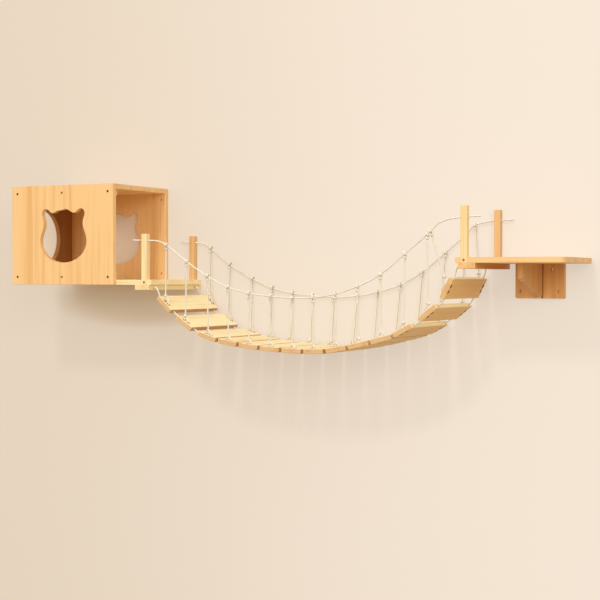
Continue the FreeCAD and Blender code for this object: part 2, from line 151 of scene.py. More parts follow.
class NodeSheet:
    """The node tree of a material or of the world."""

    def __init__(self, owner: Material | World) -> None:
        """Empties the owner's node tree.

        Args:
            owner: what the tree belongs to.
        """
        self.owner = owner
        owner.use_nodes = True
        self.tree = owner.node_tree
        self.tree.nodes.clear()

    def node(self, kind: str, settings: dict | None = None, sockets: dict | None = None) -> Node:
        """Adds any node.

        Args:
            kind: the node's type.
            settings: its properties.
            sockets: its inputs, by name or number.

        Returns:
            The node.
        """
        made = self.tree.nodes.new(kind)
        for name, setting in (settings or {}).items():
            setattr(made, name, setting)
        for name, content in (sockets or {}).items():
            source = content.socket if isinstance(content, Value) else content
            if isinstance(source, NodeSocket):
                self.tree.links.new(source, made.inputs[name])
            else:
                made.inputs[name].default_value = source
        return made

    def maths(self, operation: str, first: Value | float, second: Value | float = 0.0) -> Value:
        """Adds a Math node for an expression and gives its result."""
        made = self.node("ShaderNodeMath", {"operation": operation}, {0: first, 1: second})
        return Value(self, made.outputs[0])

    def mix(self, share: Value | float, low: Tint, high: Tint) -> NodeSocket:
        """Mixes two colours by the share of the second."""
        settings = {"data_type": "RGBA", "clamp_factor": True}
        return self.node("ShaderNodeMix", settings, {0: share, 6: low, 7: high}).outputs[2]

    def blend(self, share: Value | NodeSocket, low: Node, high: Node) -> Node:
        """Mixes two shaders by the share of the second."""
        return self.node("ShaderNodeMixShader", None, {0: share, 1: low.outputs[0], 2: high.outputs[0]})

    def parts(self, coordinate: str) -> list[Value]:
        """Takes a texture coordinate apart.

        Args:
            coordinate: its name, such as Object for the place on the piece in metres.

        Returns:
            Its parts along X, Y and Z.
        """
        whole = self.node("ShaderNodeTexCoord").outputs[coordinate]
        apart = self.node("ShaderNodeSeparateXYZ", None, {0: whole})
        return [Value(self, socket) for socket in apart.outputs]

    def seen(self) -> Value:
        """Tells looking from lighting.

        Returns:
            1 where the eye, a gloss or a clear piece looks, and 0 for the light that falls on the part.
        """
        rays = self.node("ShaderNodeLightPath").outputs
        looks = [Value(self, rays[f"Is {kind} Ray"]) for kind in ("Camera", "Glossy", "Transmission")]
        return looks[0] + looks[1] + looks[2]

    def vector(self, x: Value | float, y: Value | float, z: Value | float) -> NodeSocket:
        """Joins three values to a vector."""
        return self.node("ShaderNodeCombineXYZ", None, {0: x, 1: y, 2: z}).outputs[0]

    def noise(self, where: NodeSocket, scale: float, detail: float, rough: float = 0.5) -> Value:
        """Soft noise from about 0 to 1, with so many features in a unit and so many finer layers."""
        sockets = {"Vector": where, "Scale": scale, "Detail": detail, "Roughness": rough}
        return Value(self, self.node("ShaderNodeTexNoise", None, sockets).outputs[0])

    def surface(self, sockets: dict, height: Value | None = None, depth: float = 0.0) -> Material:
        """Ends the sheet in a Principled surface.

        Args:
            sockets: the surface's inputs.
            height: what raises the surface, from 0 to 1.
            depth: how far 1 raises it, in metres.

        Returns:
            The finished material.
        """
        if height is not None:
            bump = self.node("ShaderNodeBump", None, {"Strength": 1.0, "Distance": depth, "Height": height})
            sockets = {**sockets, "Normal": bump.outputs[0]}
        shader = self.node("ShaderNodeBsdfPrincipled", None, sockets)
        self.node("ShaderNodeOutputMaterial", None, {"Surface": shader.outputs[0]})
        return self.owner


class Grain(Enum):
    """Which way a board's grain runs, as the axes along, across and through the board."""

    ALONG_WALL = (0, 1, 2)
    OFF_WALL = (1, 0, 2)
    UPRIGHT_FRONT = (2, 0, 1)
    UPRIGHT_SIDE = (2, 1, 0)


class Tone(Enum):
    """The tone of a board, as the colours of its pale wood and of its darker streaks. HONEY is the pine's
    own; CREAM is painted light, OAT, AMBER and UMBER painted shade.
    """

    HONEY = (srgb(248, 205, 144), srgb(233, 179, 111))
    CREAM = (srgb(255, 238, 188), srgb(248, 211, 146))
    OAT = (srgb(230, 186, 128), srgb(212, 162, 100))
    AMBER = (srgb(236, 182, 113), srgb(208, 146, 78))
    UMBER = (srgb(196, 138, 74), srgb(160, 104, 50))


@dataclass(frozen=True)
class Layer:
    """A layer of noise, by its features in a metre along and across the grain."""

    along: float
    across: float
    detail: float
    rough: float = 0.5


@dataclass(frozen=True)
class Trunk:
    """Where a board's wood lay in its tree: up the trunk, and beside and below its heart, in metres."""

    up: Value
    side: Value
    deep: Value
    deeper: Value | float

    def stretched(self, along: float, across: float) -> NodeSocket:
        """The place in the trunk, with lengths along and across the grain scaled."""
        return self.up.sheet.vector(self.up * along, self.side * across, self.deep * across)

    def noise(self, layer: Layer) -> Value:
        """A layer of noise at the place in the trunk."""
        where = self.stretched(layer.along, layer.across)
        return self.up.sheet.noise(where, 1.0, layer.detail, layer.rough)


@dataclass(frozen=True)
class PineFinish:
    """Sanded pine under a thin satin lacquer, cut from a round log. Lengths are in metres."""

    grain: Grain
    seed: int
    stave: float = 0.0
    tone: Tone = Tone.HONEY
    deeper: float = 0.0
    ends: float = 0.35
    ring: float = 0.0085
    late: Colour = srgb(198, 134, 72)
    knot: Colour = srgb(120, 72, 36)
    tilt: float = 0.0
    # Painted shade: the faces that turn right along the tilt darken towards the late wood, and the underside
    # turns a darker, warmer brown.
    right_face_shade: float = 0.0
    underside_shade: float = 0.0
    underside_shade_colour: Colour = srgb(255, 196, 108)
    # Painted shadow: a dark line along the corner where the gusset meets the wall plate.
    contact_shade_at: float = 0.0
    contact_shade_half: float = 0.004
    contact_shade_share: float = 0.9
    # Painted shade: a dark ring round each hanger hole stands for the shade in the hole.
    rims: Span = (0.0, 0.0)
    rim_radius: float = 0.0062
    rim_soft: float = 0.75
    rim_share: float = 0.85
    fibre: Layer = Layer(4.0, 160.0, 3.0, 0.65)
    streak: Layer = Layer(1.1, 34.0, 3.0, 0.6)
    fleck: Layer = Layer(2.3, 105.0, 2.0, 0.55)
    drift: Layer = Layer(1.6, 9.0, 2.0)
    shifts: float = 9.0
    shades: float = 0.5
    heart_aside: float = 0.035
    heart_below: Span = (0.02, 0.06)
    stave_aside: float = 0.1
    stave_below: Span = (0.02, 0.07)
    stave_shift: float = 0.37
    wander: float = 0.06
    fray_depth: float = 0.0016
    late_part: Span = (0.25, 0.92)
    year_end: Span = (0.94, 1.0)
    knot_spread: Span = (3.2, 13.0)
    knot_edge: Span = (0.03, 0.075)
    knot_odds: Span = (0.8, 0.83)
    knot_share: float = 0.8
    streak_range: Span = (0.42, 0.74)
    streak_shares: Span = (0.7, 0.3)
    line_range: Span = (0.35, 0.7)
    line_shares: Span = (0.2, 0.3)
    fleck_range: Span = (0.55, 0.78)
    end_range: Span = (0.5, 0.9)
    edge_range: Span = (0.6, 0.95)
    roughs: tuple[float, float, float] = (0.42, 0.16, 0.06)
    heights: Span = (0.6, 0.4)
    relief: float = 0.00018

    def material(self, name: str, middle: Vector) -> Material:
        """Makes the pine of one board.

        Args:
            name: the material's name.
            middle: the board's middle.

        Returns:
            The material.
        """
        sheet = NodeSheet(bpy.data.materials.new(name))
        axes, faces = sheet.parts("Object"), sheet.parts("Normal")
        trunk = self.trunk(axes, middle)
        fray = trunk.noise(self.fibre)
        heart = (trunk.side * trunk.side + trunk.deep * trunk.deep).root()
        radius = heart + (trunk.noise(self.drift) - 0.5) * self.wander + fray * self.fray_depth
        year = (radius / self.ring).fraction()
        dark = year.between(*self.late_part) * (1 - year.between(*self.year_end))
        end_on = faces[self.grain.value[0]]
        end = (end_on * end_on).between(*self.end_range) * self.ends
        colour = sheet.mix(end, self.figure(trunk, dark), self.late)
        # Painted shade on the right-facing faces and the underside, and on the rims of the hanger holes.
        if self.right_face_shade:
            colour = self.painted_shade(axes, faces, middle, colour)
        # Painted shadow along the gusset's corner on the wall plate.
        if self.contact_shade_at:
            beside = axes[0] - self.contact_shade_at
            line = 1 - (beside * beside).between(0.0, self.contact_shade_half ** 2)
            colour = sheet.mix(line * self.contact_shade_share, colour, self.knot)
        rough = self.roughs[0] + fray * self.roughs[1] + dark * self.roughs[2]
        height = fray * self.heights[0] + (1 - dark) * self.heights[1]
        sockets = {"Base Color": colour, "Roughness": rough, "Specular IOR Level": 0.35}
        return sheet.surface(sockets, height, self.relief)

    def trunk(self, axes: list[Value], middle: Vector) -> Trunk:
        """Places a board in its trunk, or each stave of a glued one in its own.

        Args:
            axes: the place on the board.
            middle: the board's middle.

        Returns:
            The place in the trunk.
        """
        sheet = axes[0].sheet
        along, across, through = (axes[i] for i in self.grain.value)
        centre = [middle[i] for i in self.grain.value]
        chance = random.Random(self.seed)
        shift = chance.uniform(0, self.shifts)
        if not self.stave:
            side = across - (centre[1] + chance.uniform(-self.heart_aside, self.heart_aside))
            deep = through - (centre[2] - chance.choice((-1, 1)) * chance.uniform(*self.heart_below))
            return Trunk(along + shift, side, deep, self.deeper + chance.uniform(0, self.shades))
        count = across / self.stave + shift
        which = count.floor()
        pick = sheet.node("ShaderNodeTexWhiteNoise", {"noise_dimensions": "1D"}, {"W": which})
        picks = sheet.node("ShaderNodeSeparateColor", None, {0: pick.outputs["Color"]})
        first, second, third = (Value(sheet, socket) for socket in picks.outputs)
        side = (count.fraction() - 0.5) * self.stave + (first - 0.5) * self.stave_aside
        deep = through - centre[2] + self.stave_below[0] + second * self.stave_below[1]
        return Trunk(along + which * self.stave_shift, side, deep, third * self.shades + self.deeper)

    def figure(self, trunk: Trunk, dark: Value) -> NodeSocket:
        """Colours the wood with its streaks, year rings, flecks and knots.

        Args:
            trunk: the place in the trunk.
            dark: how much late wood there is, from 0 to 1.

        Returns:
            The colour.
        """
        sheet = trunk.up.sheet
        streak = trunk.noise(self.streak)
        fleck = trunk.noise(self.fleck).between(*self.fleck_range)
        where = trunk.stretched(*self.knot_spread)
        spots = sheet.node("ShaderNodeTexVoronoi", {"feature": "F1"}, {"Vector": where, "Scale": 1.0})
        pick = sheet.node("ShaderNodeSeparateColor", None, {0: spots.outputs["Color"]})
        chosen = Value(sheet, pick.outputs[0]).between(*self.knot_odds)
        knot = (1 - Value(sheet, spots.outputs["Distance"]).between(*self.knot_edge)) * chosen
        streaky, deeper = self.streak_shares
        lines, flecks = self.line_shares
        shade = streak.between(*self.streak_range) * streaky + trunk.deeper * deeper
        body = sheet.mix(shade, *self.tone.value)
        late = dark * streak.between(*self.line_range) * lines + fleck * flecks
        return sheet.mix(knot * self.knot_share, sheet.mix(late, body, self.late), self.knot)

    def painted_shade(self, axes: list[Value], faces: list[Value], middle: Vector, colour: NodeSocket) -> NodeSocket:
        """Paints shade on a board: darkens the faces that turn right along its tilt and its underside, where
        light falls least, and the rims of its hanger holes, as shade in the holes.

        Args:
            axes: the place on the board.
            faces: the way that its surface faces there.
            middle: the board's middle.
            colour: the wood's colour so far.

        Returns:
            The darkened colour.
        """
        sheet = axes[0].sheet
        cosine, sine = math.cos(math.radians(self.tilt)), math.sin(math.radians(self.tilt))
        edge = (faces[0] * cosine - faces[2] * sine).between(*self.edge_range) * self.right_face_shade
        below = (-(faces[0] * sine) - faces[2] * cosine).between(*self.edge_range) * self.underside_shade
        shaded = sheet.mix(below, sheet.mix(edge, colour, self.late), self.underside_shade_colour)
        if not any(self.rims):
            return shaded
        # Painted shade in the hanger holes: a soft dark ring round each.
        across = (axes[0] - middle.x) * cosine - (axes[2] - middle.z) * sine
        off = (across * across).root() - self.rims[0]
        along = axes[1] - middle.y
        out = (along * along).root() - self.rims[1]
        rim = 1 - (off * off + out * out).root().between(self.rim_radius * self.rim_soft, self.rim_radius)
        return sheet.mix(rim * self.rim_share, shaded, self.knot)


@dataclass(frozen=True)
class RopeFinish:
    """Undyed laid cotton, a little fluffy."""

    cotton: Colour = srgb(255, 249, 232)
    shade: Colour = srgb(248, 234, 206)
    # Painted shade: the brown that the right and lower sides are mixed towards.
    shade_brown: Colour = srgb(150, 108, 68)
    right_side_shade: float = 0.1
    lower_side_shade: float = 0.75
    facing: Span = (0.4, 0.9)
    fine_scale: float = 1500.0
    broad_scale: float = 45.0
    fine_range: Span = (0.35, 0.75)
    broad_range: Span = (0.45, 0.75)
    soil_shares: Span = (0.45, 0.3)
    fluff: float = 0.00012

    def material(self, name: str) -> Material:
        """Makes the cotton, with fine fibres, faint soiling, and painted shade, a brown, on its right and
        lower sides.

        Args:
            name: the material's name.

        Returns:
            The material.
        """
        sheet = NodeSheet(bpy.data.materials.new(name))
        x, y, z = sheet.parts("Object")
        right, _, up = sheet.parts("Normal")
        fine = sheet.noise(sheet.vector(x, y, z), self.fine_scale, 2.0)
        broad = sheet.noise(sheet.vector(x, y, z), self.broad_scale, 3.0)
        fibres = fine.between(*self.fine_range) * self.soil_shares[0]
        soil = fibres + broad.between(*self.broad_range) * self.soil_shares[1]
        colour = sheet.mix(soil, self.cotton, self.shade)
        # Painted shade on the sides that face right and down.
        unshaded_right = 1 - right.between(*self.facing) * self.right_side_shade
        unshaded = unshaded_right * (1 - (-up).between(*self.facing) * self.lower_side_shade)
        colour = sheet.mix(1 - unshaded, colour, self.shade_brown)
        sockets = {
            "Base Color": colour,
            "Roughness": 0.82 + fine * 0.14,
            "Sheen Weight": 0.25,
            "Sheen Roughness": 0.6,
            "Specular IOR Level": 0.2,
        }
        return sheet.surface(sockets, fine, self.fluff)


@dataclass(frozen=True)
class ScrewFinish:
    """Plating of a wood screw, rubbed brighter in places."""

    plating: Colour = srgb(88, 58, 35)
    rubbed: Colour = srgb(138, 101, 65)
    worn_half: float = 0.0
    patch_scale: float = 420.0
    patch_range: Span = (0.45, 0.72)
    patch_share: float = 0.6
    worn_share: float = 0.75
    relief: float = 0.00005

    def material(self, name: str) -> Material:
        """Makes the plating, with rubbed patches, more of them in the middle columns of screws.

        Args:
            name: the material's name.

        Returns:
            The material.
        """
        sheet = NodeSheet(bpy.data.materials.new(name))
        x, y, z = sheet.parts("Object")
        patch = sheet.noise(sheet.vector(x, y, z), self.patch_scale, 4.0).between(*self.patch_range)
        colour = sheet.mix(patch * self.patch_share, self.plating, self.rubbed)
        if self.worn_half:
            edge = self.worn_half ** 2
            worn = 1 - (x * x).between(edge, edge * 1.1 + 1e-6)
            colour = sheet.mix(worn * self.worn_share, colour, self.rubbed)
        sockets = {"Base Color": colour, "Metallic": 0.35, "Roughness": 0.5 - patch * 0.12}
        return sheet.surface(sockets, patch, self.relief)


@dataclass(frozen=True)
class WallFinish:
    """Plain pale paint for the backdrop, which is open from behind."""

    paint: Colour = srgb(237, 224, 208)
    dim: Colour = srgb(226, 210, 190)
    bright: Colour = srgb(247, 236, 223)
    gradient: Span = (-0.5, 1.6)
    evenness: float = 0.58
    # Painted shadow patch round and behind the house, where the wall is not evened out.
    house_shade_half: Span = (0.29, 0.14)
    house_shade_middle: float = -0.11
    house_shade_soft: float = 1.1
    shade_middle: Span = (0.06, -0.20)
    shade_half: Span = (0.36, 0.10)
    shade_edge: Span = (0.25, 1.0)

    def material(self, name: str) -> Material:
        """Makes the paint, evened out for the eye by a glow that is painted light, dimmer to the left and
        brighter to the right, but not in two painted shadow patches, round and behind the house and below
        it, where the wall keeps its full shadow. Its back is clear.

        Args:
            name: the material's name.

        Returns:
            The material.
        """
        sheet = NodeSheet(bpy.data.materials.new(name))
        lit = sheet.node("ShaderNodeBsdfDiffuse", None, {"Color": self.paint})
        across, _, up = sheet.parts("Object")
        # Painted light: the glow grows brighter from left to right.
        glow = sheet.mix(across.between(*self.gradient), self.dim, self.bright)
        even = sheet.node("ShaderNodeEmission", None, {"Color": glow, "Strength": 1.0})
        # Painted shadow patches: the evenness is left out round the house and below it.
        width, height = (half ** 2 for half in self.house_shade_half)
        aside = across - self.house_shade_middle
        beside = (aside * aside).between(width, width * self.house_shade_soft)
        beyond = (up * up).between(height, height * self.house_shade_soft)
        right = (across - self.shade_middle[0]) / self.shade_half[0]
        above = (up - self.shade_middle[1]) / self.shade_half[1]
        lower = (right * right + above * above).between(*self.shade_edge)
        share = sheet.seen() * self.evenness * lower * (1 - (1 - beside) * (1 - beyond))
        behind = sheet.node("ShaderNodeNewGeometry").outputs["Backfacing"]
        both = sheet.blend(behind, sheet.blend(share, lit, even), sheet.node("ShaderNodeBsdfTransparent"))
        sheet.node("ShaderNodeOutputMaterial", None, {"Surface": both.outputs[0]})
        return sheet.owner


def dress(node: str, material: Material) -> None:
    """Gives a CAD node its material.

    Args:
        node: the node's name.
        material: what it is made of.
    """
    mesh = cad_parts[node].data
    mesh.materials.clear()
    mesh.materials.append(material)
    log.info("dressed %s", node)


def middle_of(node: str) -> Vector:
    """The middle of a CAD node's box, in metres."""
    low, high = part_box(node)
    return (low + high) / 2


@dataclass
class Woodwork:
    """The boards, bars and posts that stay as the CAD made them."""

    panels: dict[str, PineFinish] = field(
        default_factory=lambda: {
            "house_front_panel": PineFinish(Grain.UPRIGHT_FRONT, 3, 0.094),
            "house_back_panel": PineFinish(Grain.UPRIGHT_FRONT, 7, 0.094, deeper=0.3),
            # Painted shade: the darker UMBER tone and the darkened right-facing faces stand for the shade
            # inside the house.
            "house_side_panel": PineFinish(
                Grain.UPRIGHT_SIDE, 11, 0.09, Tone.UMBER, right_face_shade=0.7, late=srgb(134, 80, 30)
            ),
            "house_top": PineFinish(Grain.ALONG_WALL, 13, 0.09, ends=0.1),
            "house_floor": PineFinish(Grain.ALONG_WALL, 17, 0.095, Tone.CREAM, ends=0.0),
            "front_top_cleat": PineFinish(Grain.ALONG_WALL, 19),
            "front_bottom_cleat": PineFinish(Grain.ALONG_WALL, 23),
            "left_crossbar": PineFinish(Grain.OFF_WALL, 29, tone=Tone.CREAM, deeper=1.0, ends=0.1),
            # Painted shade: the crossbar's right face darkens towards the late wood.
            "right_crossbar": PineFinish(Grain.OFF_WALL, 31, deeper=0.6, ends=0.1, right_face_shade=0.35),
            "shelf_board": PineFinish(Grain.ALONG_WALL, 37, 0.095, ends=0.1),
            # Painted shade: the plate and gusset take the darker AMBER tone for the shade under the shelf;
            # the plate also has a painted shadow line along the gusset.
            "bracket_wall_plate": PineFinish(Grain.UPRIGHT_FRONT, 41, 0.07, Tone.AMBER, contact_shade_at=1.40597),
            "bracket_gusset": PineFinish(Grain.UPRIGHT_SIDE, 43, 0.1, Tone.AMBER, 0.4, 0.0),
            # Painted light: the front posts take the paler CREAM tone; painted shade: the back posts take
            # the darker OAT tone.
            "left_front_post": PineFinish(Grain.UPRIGHT_FRONT, 47, tone=Tone.CREAM),
            "left_back_post": PineFinish(Grain.UPRIGHT_FRONT, 53, tone=Tone.OAT),
            "right_front_post": PineFinish(Grain.UPRIGHT_FRONT, 59, tone=Tone.CREAM, deeper=1.1),
            "right_back_post": PineFinish(Grain.UPRIGHT_FRONT, 61, tone=Tone.OAT),
        }
    )

    def dress(self) -> None:
        """Gives each board its own pine."""
        for node, finish in self.panels.items():
            dress(node, finish.material(f"pine_{node}", middle_of(node)))


@dataclass
class Fasteners:
    """The wood screws that stay as the CAD made them."""

    bronze: tuple[str, ...] = ("house_back", "side_panel", "crossbar", "shelf")
    brass: tuple[str, ...] = ("post", "bracket")

    def dress(self) -> None:
        """Gives every group of screws its plating."""
        dark = ScrewFinish().material("screw_bronze")
        pale = ScrewFinish(srgb(168, 122, 72), srgb(196, 152, 98)).material("screw_brass")
        front = ScrewFinish(rubbed=srgb(176, 132, 84), worn_half=0.08).material("screw_front")
        for groups, plating in ((self.bronze, dark), (self.brass, pale), (("house_front",), front)):
            for group in groups:
                dress(f"{group}_screws", plating)


def smooth_line(points: Sequence[Sequence[float]]) -> np.ndarray:
    """The smooth line that a rope takes along the points of its route.

    Args:
        points: the route's points, in metres, which steer a spline.

    Returns:
        Points read from the spline, in order.
    """
    curve = bpy.data.curves.new("route", "CURVE")
    curve.dimensions = "3D"
    curve.resolution_u = 16
    spline = curve.splines.new("NURBS")
    spline.points.add(len(points) - 1)
    for target, point in zip(spline.points, points):
        target.co = (*point, 1.0)
    spline.order_u = 3
    spline.use_endpoint_u = True
    holder = bpy.data.objects.new("route", curve)
    mesh = bpy.data.meshes.new_from_object(holder)
    line = np.array([vertex.co for vertex in mesh.vertices], float)
    bpy.data.objects.remove(holder)
    bpy.data.curves.remove(curve)
    bpy.data.meshes.remove(mesh)
    return line


def nearest(line: np.ndarray, point: Sequence[float]) -> int:
    """Which point of a line lies nearest to a place."""
    return int(np.argmin(np.linalg.norm(line - np.array(point), axis=1)))


def travelled(line: np.ndarray) -> np.ndarray:
    """The length of a line up to each of its points."""
    return np.concatenate(([0.0], np.cumsum(np.linalg.norm(np.diff(line, axis=0), axis=1))))


@dataclass
class Skein:
    """Collects laid strands until they become one mesh. Lengths are in metres."""

    diameter: float
    pitch: float
    step: float = 0.0022
    sides: int = 6
    strands: int = 3
    strand_share: float = 0.29
    least: float = 1e-7

    def __post_init__(self) -> None:
        """Starts with no strands."""
        self.thick = self.strand_share * self.diameter
        self.offset = self.diameter / 2 - self.thick
        self.points: list[np.ndarray] = []
        self.faces: list[list[int]] = []
        self.count = 0

    def lay(self, line: np.ndarray, begin: float = 0.0, slim: float = 1.0) -> "Skein":
        """Lays the strands along a line.

        Args:
            line: the rope's line, in metres.
            begin: the rope's length before the line, for its twist.
            slim: the share of the thickness that is used.

        Returns:
            The skein itself.
        """
        line = line[np.diff(travelled(line), prepend=-1.0) > self.least]
        travel = travelled(line)
        rings = max(4, round(travel[-1] / self.step)) + 1
        along = np.linspace(0, travel[-1], rings)
        path = np.stack([np.interp(along, travel, line[:, i]) for i in range(3)], axis=1)
        ways = np.gradient(path, axis=0)
        ways /= np.linalg.norm(ways, axis=1, keepdims=True)
        normal = np.cross(ways[0], (0.0, 1.0, 0.0))
        if np.linalg.norm(normal) < 0.1:
            normal = np.cross(ways[0], (1.0, 0.0, 0.0))
        normals = []
        for way in ways:
            normal = normal - way * (normal @ way)
            normal /= np.linalg.norm(normal)
            normals.append(normal)
        normals = np.array(normals)
        seconds = np.cross(ways, normals)
        for strand in range(self.strands):
            turn = math.tau * (strand / self.strands + (along + begin) / self.pitch)
            self._strand(path, normals, seconds, turn, slim)
        return self

    def _strand(
        self, path: np.ndarray, first: np.ndarray, second: np.ndarray, turn: np.ndarray, slim: float
    ) -> None:
        """Adds one strand's rings and faces.

        Args:
            path: the rope's middle line.
            first: a direction square to it at each point.
            second: the other direction square to it.
            turn: how far round the strand is.
            slim: the share of the thickness that is used.
        """
        out = np.cos(turn)[:, None] * first + np.sin(turn)[:, None] * second
        rings = []
        for side in range(self.sides):
            angle = turn + math.tau * side / self.sides
            rim = np.cos(angle)[:, None] * first + np.sin(angle)[:, None] * second
            rings.append(path + (out * self.offset + rim * self.thick) * slim)
        grid = np.stack(rings, axis=1)
        rows = len(path)
        start = self.count
        self.points.append(grid.reshape(-1, 3))
        self.count += rows * self.sides
        for row in range(rows - 1):
            low = start + row * self.sides
            high = low + self.sides
            for side in range(self.sides):
                after = (side + 1) % self.sides
                self.faces.append([low + side, low + after, high + after, high + side])
        self.faces.append([start + side for side in reversed(range(self.sides))])
        self.faces.append([start + (rows - 1) * self.sides + side for side in range(self.sides)])

    def piece(self, name: str, material: Material) -> Object:
        """Makes the collected strands one object.

        Args:
            name: the object's name.
            material: what it is made of.

        Returns:
            The object.
        """
        mesh = bpy.data.meshes.new(name)
        mesh.from_pydata(np.concatenate(self.points).tolist(), [], self.faces)
        mesh.shade_smooth()
        mesh.materials.append(material)
        made = bpy.data.objects.new(name, mesh)
        bpy.context.scene.collection.objects.link(made)
        log.info("made %s with %d points", name, self.count)
        return made


@dataclass(frozen=True)
class Tying:
    """How cords are knotted and wound. All but the rope's diameter is in rope diameters or shares."""

    rope: float
    knot_steps: int = 24
    knot_reach: float = 2.9
    knot_height: float = 1.5
    knot_cord: float = 0.36
    knot_slim: float = 0.82
    turns: int = 2
    turn_steps: int = 8
    turn_radius: float = 1.02 / 0.93
    turn_spread: float = 1.06
    turn_slim: float = 0.96
    entry: float = 0.3

    def overhand(self, skein: Skein, centre: Vector, way: Vector, size: float) -> None:
        """Ties an overhand knot.

        Args:
            skein: what the knot is added to.
            centre: the knot's middle.
            way: the direction of the cord through it.
            size: how wide the knot is.
        """
        turn = Vector((0, 0, 1)).rotation_difference(way).to_matrix()
        scale = (size / 2 - self.rope * self.knot_cord) / self.knot_reach
        points = []
        for i in range(self.knot_steps + 1):
            t = math.tau * i / self.knot_steps
            x, y = math.sin(t) + 2 * math.sin(2 * t), math.cos(t) - 2 * math.cos(2 * t)
            z = -self.knot_height * math.sin(3 * t)
            points.append(centre + turn @ Vector((x * scale, y * scale, z * scale)))
        skein.lay(smooth_line(points), slim=self.knot_slim)

    def hitch(self, skein: Skein, tie: Vector, axis: Vector, knot: Vector) -> None:
        """Winds a cord round the top rope, above its knot.

        Args:
            skein: what the turns are added to.
            tie: the top rope's middle at the turns.
            axis: the top rope's direction.
            knot: the middle of the knot below.
        """
        down = (Vector((0, 0, -1)) - axis * axis.dot(Vector((0, 0, -1)))).normalized()
        side = axis.cross(down)
        reach = self.rope * self.turn_radius
        steps = self.turns * self.turn_steps
        points = [knot - axis * self.rope * self.entry]
        for i in range(steps + 1):
            t = math.tau * i / self.turn_steps
            shift = axis * self.rope * (i / steps - 0.5) * self.turn_spread
            points.append(tie + (down * math.cos(t) + side * math.sin(t)) * reach + shift)
        points.append(knot + axis * self.rope * self.entry)
        skein.lay(smooth_line(points), slim=self.turn_slim)

class Side(Enum):
    """The bridge's two rows of ropes, each with its number in the lists of depths."""

    FRONT = 0
    BACK = 1


